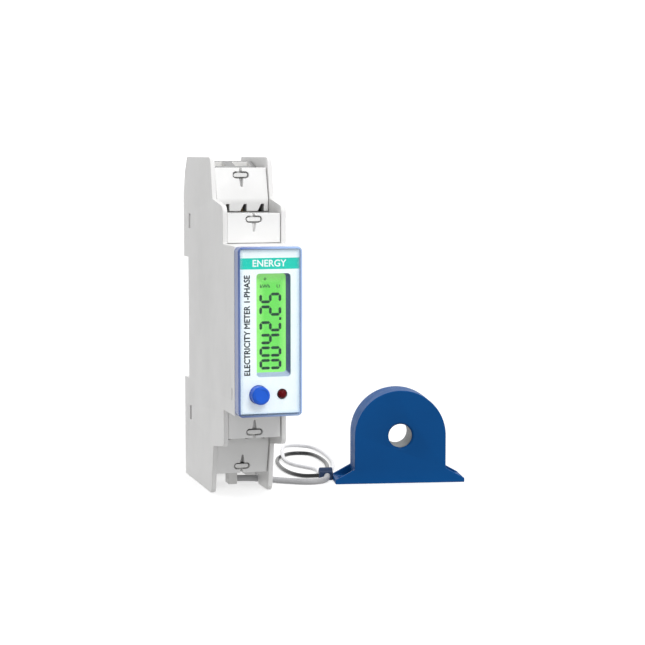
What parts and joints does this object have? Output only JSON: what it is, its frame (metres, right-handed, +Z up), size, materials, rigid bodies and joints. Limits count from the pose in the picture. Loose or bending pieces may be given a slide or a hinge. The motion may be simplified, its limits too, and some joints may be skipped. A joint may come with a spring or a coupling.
{
  "type": "smart electric meter",
  "caption": "Rail-mounted one-module electricity meter with stepped screw terminals, green display and button, wired to a blue ring current transformer.",
  "frame": {"origin": "on the standing surface, under the middle of the meter and its transformer", "axes": "+Z up, -Y towards the face, +X from the meter to the transformer"},
  "size_m": [0.076, 0.1013, 0.0935],
  "materials": {
    "housing_plastic": "light grey moulded, fine spark texture",
    "cover_plastic": "white moulded",
    "block_plastic": "light grey moulded",
    "screw_steel": "zinc plated",
    "clamp_brass": "nickel-brass, satin",
    "bar_brass": "tinned copper alloy",
    "window_clear": "clear blue-tinted polycarbonate",
    "label_print": "printed film, teal band",
    "carrier_plastic": "grey moulded",
    "bezel_plastic": "dark blue",
    "display_glass": "lit green display",
    "light_guide": "lit green",
    "circuit_board": "solder mask",
    "component_case": "moulded component cases",
    "lamp_red": "dark red lens",
    "button_plastic": "blue",
    "clip_plastic": "black",
    "spring_steel": "bright",
    "transformer_plastic": "deep blue moulded",
    "potting_resin": "cast resin",
    "bush_plastic": "grey",
    "core_steel": "wound strip",
    "winding_copper": "enamelled copper turns",
    "boot_rubber": "black",
    "jacket_grey": "grey PVC",
    "core_black": "black PVC",
    "core_white": "white PVC"
  },
  "bodies": {
    "root": {"backlight": "light_guide", "board_components": "component_case", "board_link": "component_case", "clip_spring": "spring_steel", "ct_back_plate": "potting_resin", "ct_bore_bush": "bush_plastic", "ct_case": "transformer_plastic", "ct_core": "core_steel", "ct_winding": "winding_copper", "display_board": "circuit_board", "face_carrier": "carrier_plastic", "face_label": "label_print", "front_window": "window_clear", "lcd_bezel": "bezel_plastic", "lcd_glass": "display_glass", "lead_black": "core_black", "lead_boot": "boot_rubber", "lead_jacket": "jacket_grey", "lead_white": "core_white", "left_shell": "housing_plastic", "lower_inner_contact_bars": "bar_brass", "lower_inner_terminal_block": "block_plastic", "lower_outer_contact_bars": "bar_brass", "lower_outer_terminal_block": "block_plastic", "main_board": "circuit_board", "meter_lead_gland": "block_plastic", "pulse_lamp": "lamp_red", "right_shell": "housing_plastic", "tact_switch": "component_case", "upper_inner_contact_bars": "bar_brass", "upper_inner_terminal_block": "block_plastic", "upper_outer_contact_bars": "bar_brass", "upper_outer_terminal_block": "block_plastic"},
    "upper_outer_cover": {"upper_outer_cover": "cover_plastic"},
    "upper_outer_screw_1": {"upper_outer_screw_1": "screw_steel"},
    "upper_outer_clamp_1": {"upper_outer_clamp_1": "clamp_brass"},
    "upper_outer_screw_2": {"upper_outer_screw_2": "screw_steel"},
    "upper_outer_clamp_2": {"upper_outer_clamp_2": "clamp_brass"},
    "upper_inner_cover": {"upper_inner_cover": "cover_plastic"},
    "upper_inner_screw_1": {"upper_inner_screw_1": "screw_steel"},
    "upper_inner_clamp_1": {"upper_inner_clamp_1": "clamp_brass"},
    "upper_inner_screw_2": {"upper_inner_screw_2": "screw_steel"},
    "upper_inner_clamp_2": {"upper_inner_clamp_2": "clamp_brass"},
    "upper_inner_screw_3": {"upper_inner_screw_3": "screw_steel"},
    "upper_inner_clamp_3": {"upper_inner_clamp_3": "clamp_brass"},
    "lower_inner_cover": {"lower_inner_cover": "cover_plastic"},
    "lower_inner_screw_1": {"lower_inner_screw_1": "screw_steel"},
    "lower_inner_clamp_1": {"lower_inner_clamp_1": "clamp_brass"},
    "lower_inner_screw_2": {"lower_inner_screw_2": "screw_steel"},
    "lower_inner_clamp_2": {"lower_inner_clamp_2": "clamp_brass"},
    "lower_inner_screw_3": {"lower_inner_screw_3": "screw_steel"},
    "lower_inner_clamp_3": {"lower_inner_clamp_3": "clamp_brass"},
    "lower_outer_cover": {"lower_outer_cover": "cover_plastic"},
    "lower_outer_screw_1": {"lower_outer_screw_1": "screw_steel"},
    "lower_outer_clamp_1": {"lower_outer_clamp_1": "clamp_brass"},
    "lower_outer_screw_2": {"lower_outer_screw_2": "screw_steel"},
    "lower_outer_clamp_2": {"lower_outer_clamp_2": "clamp_brass"},
    "push_button": {"push_button": "button_plastic"},
    "rail_clip": {"rail_clip": "clip_plastic"}
  },
  "joints": [
    {"name": "upper_outer_cover_pull", "type": "slide", "parent": "root", "child": "upper_outer_cover", "axis": [0, -1, 0], "range_m": [0, 0.012]},
    {"name": "upper_outer_clamp_1_rise", "type": "slide", "parent": "root", "child": "upper_outer_clamp_1", "axis": [0, -1, 0], "range_m": [0, 0.0033]},
    {"name": "upper_outer_screw_1_turn", "type": "hinge", "parent": "root", "child": "upper_outer_screw_1", "pos_m": [-0.03294, -0.0056, 0.08535], "axis": [0, 1, 0], "range_deg": [0, 2377]},
    {"name": "upper_outer_clamp_2_rise", "type": "slide", "parent": "root", "child": "upper_outer_clamp_2", "axis": [0, -1, 0], "range_m": [0, 0.0033]},
    {"name": "upper_outer_screw_2_turn", "type": "hinge", "parent": "root", "child": "upper_outer_screw_2", "pos_m": [-0.02554, -0.0056, 0.08535], "axis": [0, 1, 0], "range_deg": [0, 2377]},
    {"name": "upper_inner_cover_pull", "type": "slide", "parent": "root", "child": "upper_inner_cover", "axis": [0, -1, 0], "range_m": [0, 0.012]},
    {"name": "upper_inner_clamp_1_rise", "type": "slide", "parent": "root", "child": "upper_inner_clamp_1", "axis": [0, -1, 0], "range_m": [0, 0.0015]},
    {"name": "upper_inner_screw_1_turn", "type": "hinge", "parent": "root", "child": "upper_inner_screw_1", "pos_m": [-0.03414, -0.0056, 0.07385], "axis": [0, 1, 0], "range_deg": [0, 1351]},
    {"name": "upper_inner_clamp_2_rise", "type": "slide", "parent": "root", "child": "upper_inner_clamp_2", "axis": [0, -1, 0], "range_m": [0, 0.0015]},
    {"name": "upper_inner_screw_2_turn", "type": "hinge", "parent": "root", "child": "upper_inner_screw_2", "pos_m": [-0.02924, -0.0056, 0.07385], "axis": [0, 1, 0], "range_deg": [0, 1351]},
    {"name": "upper_inner_clamp_3_rise", "type": "slide", "parent": "root", "child": "upper_inner_clamp_3", "axis": [0, -1, 0], "range_m": [0, 0.0015]},
    {"name": "upper_inner_screw_3_turn", "type": "hinge", "parent": "root", "child": "upper_inner_screw_3", "pos_m": [-0.02434, -0.0056, 0.07385], "axis": [0, 1, 0], "range_deg": [0, 1351]},
    {"name": "lower_inner_cover_pull", "type": "slide", "parent": "root", "child": "lower_inner_cover", "axis": [0, -1, 0], "range_m": [0, 0.012]},
    {"name": "lower_inner_clamp_1_rise", "type": "slide", "parent": "root", "child": "lower_inner_clamp_1", "axis": [0, -1, 0], "range_m": [0, 0.0015]},
    {"name": "lower_inner_screw_1_turn", "type": "hinge", "parent": "root", "child": "lower_inner_screw_1", "pos_m": [-0.03414, -0.0056, 0.02205], "axis": [0, 1, 0], "range_deg": [0, 1351]},
    {"name": "lower_inner_clamp_2_rise", "type": "slide", "parent": "root", "child": "lower_inner_clamp_2", "axis": [0, -1, 0], "range_m": [0, 0.0015]},
    {"name": "lower_inner_screw_2_turn", "type": "hinge", "parent": "root", "child": "lower_inner_screw_2", "pos_m": [-0.02924, -0.0056, 0.02205], "axis": [0, 1, 0], "range_deg": [0, 1351]},
    {"name": "lower_inner_clamp_3_rise", "type": "slide", "parent": "root", "child": "lower_inner_clamp_3", "axis": [0, -1, 0], "range_m": [0, 0.0015]},
    {"name": "lower_inner_screw_3_turn", "type": "hinge", "parent": "root", "child": "lower_inner_screw_3", "pos_m": [-0.02434, -0.0056, 0.02205], "axis": [0, 1, 0], "range_deg": [0, 1351]},
    {"name": "lower_outer_cover_pull", "type": "slide", "parent": "root", "child": "lower_outer_cover", "axis": [0, -1, 0], "range_m": [0, 0.012]},
    {"name": "lower_outer_clamp_1_rise", "type": "slide", "parent": "root", "child": "lower_outer_clamp_1", "axis": [0, -1, 0], "range_m": [0, 0.0033]},
    {"name": "lower_outer_screw_1_turn", "type": "hinge", "parent": "root", "child": "lower_outer_screw_1", "pos_m": [-0.03294, -0.0056, 0.01055], "axis": [0, 1, 0], "range_deg": [0, 2377]},
    {"name": "lower_outer_clamp_2_rise", "type": "slide", "parent": "root", "child": "lower_outer_clamp_2", "axis": [0, -1, 0], "range_m": [0, 0.0033]},
    {"name": "lower_outer_screw_2_turn", "type": "hinge", "parent": "root", "child": "lower_outer_screw_2", "pos_m": [-0.02554, -0.0056, 0.01055], "axis": [0, 1, 0], "range_deg": [0, 2377]},
    {"name": "button_press", "type": "slide", "parent": "root", "child": "push_button", "axis": [0, 1, 0], "range_m": [0, 0.001], "stiffness_N_per_m": 900, "springref_m": -0.0002},
    {"name": "rail_clip_pull", "type": "slide", "parent": "root", "child": "rail_clip", "axis": [0, 0, -1], "range_m": [0, 0.003], "stiffness_N_per_m": 700, "springref_m": -0.001, "deforming": ["clip_spring"]}
  ],
  "couplings": [
    {"joint": "upper_outer_screw_1_turn", "follows": "upper_outer_clamp_1_rise", "rad_per_m": 12566},
    {"joint": "upper_outer_screw_2_turn", "follows": "upper_outer_clamp_2_rise", "rad_per_m": 12566},
    {"joint": "upper_inner_screw_1_turn", "follows": "upper_inner_clamp_1_rise", "rad_per_m": 15708},
    {"joint": "upper_inner_screw_2_turn", "follows": "upper_inner_clamp_2_rise", "rad_per_m": 15708},
    {"joint": "upper_inner_screw_3_turn", "follows": "upper_inner_clamp_3_rise", "rad_per_m": 15708},
    {"joint": "lower_inner_screw_1_turn", "follows": "lower_inner_clamp_1_rise", "rad_per_m": 15708},
    {"joint": "lower_inner_screw_2_turn", "follows": "lower_inner_clamp_2_rise", "rad_per_m": 15708},
    {"joint": "lower_inner_screw_3_turn", "follows": "lower_inner_clamp_3_rise", "rad_per_m": 15708},
    {"joint": "lower_outer_screw_1_turn", "follows": "lower_outer_clamp_1_rise", "rad_per_m": 12566},
    {"joint": "lower_outer_screw_2_turn", "follows": "lower_outer_clamp_2_rise", "rad_per_m": 12566}
  ]
}
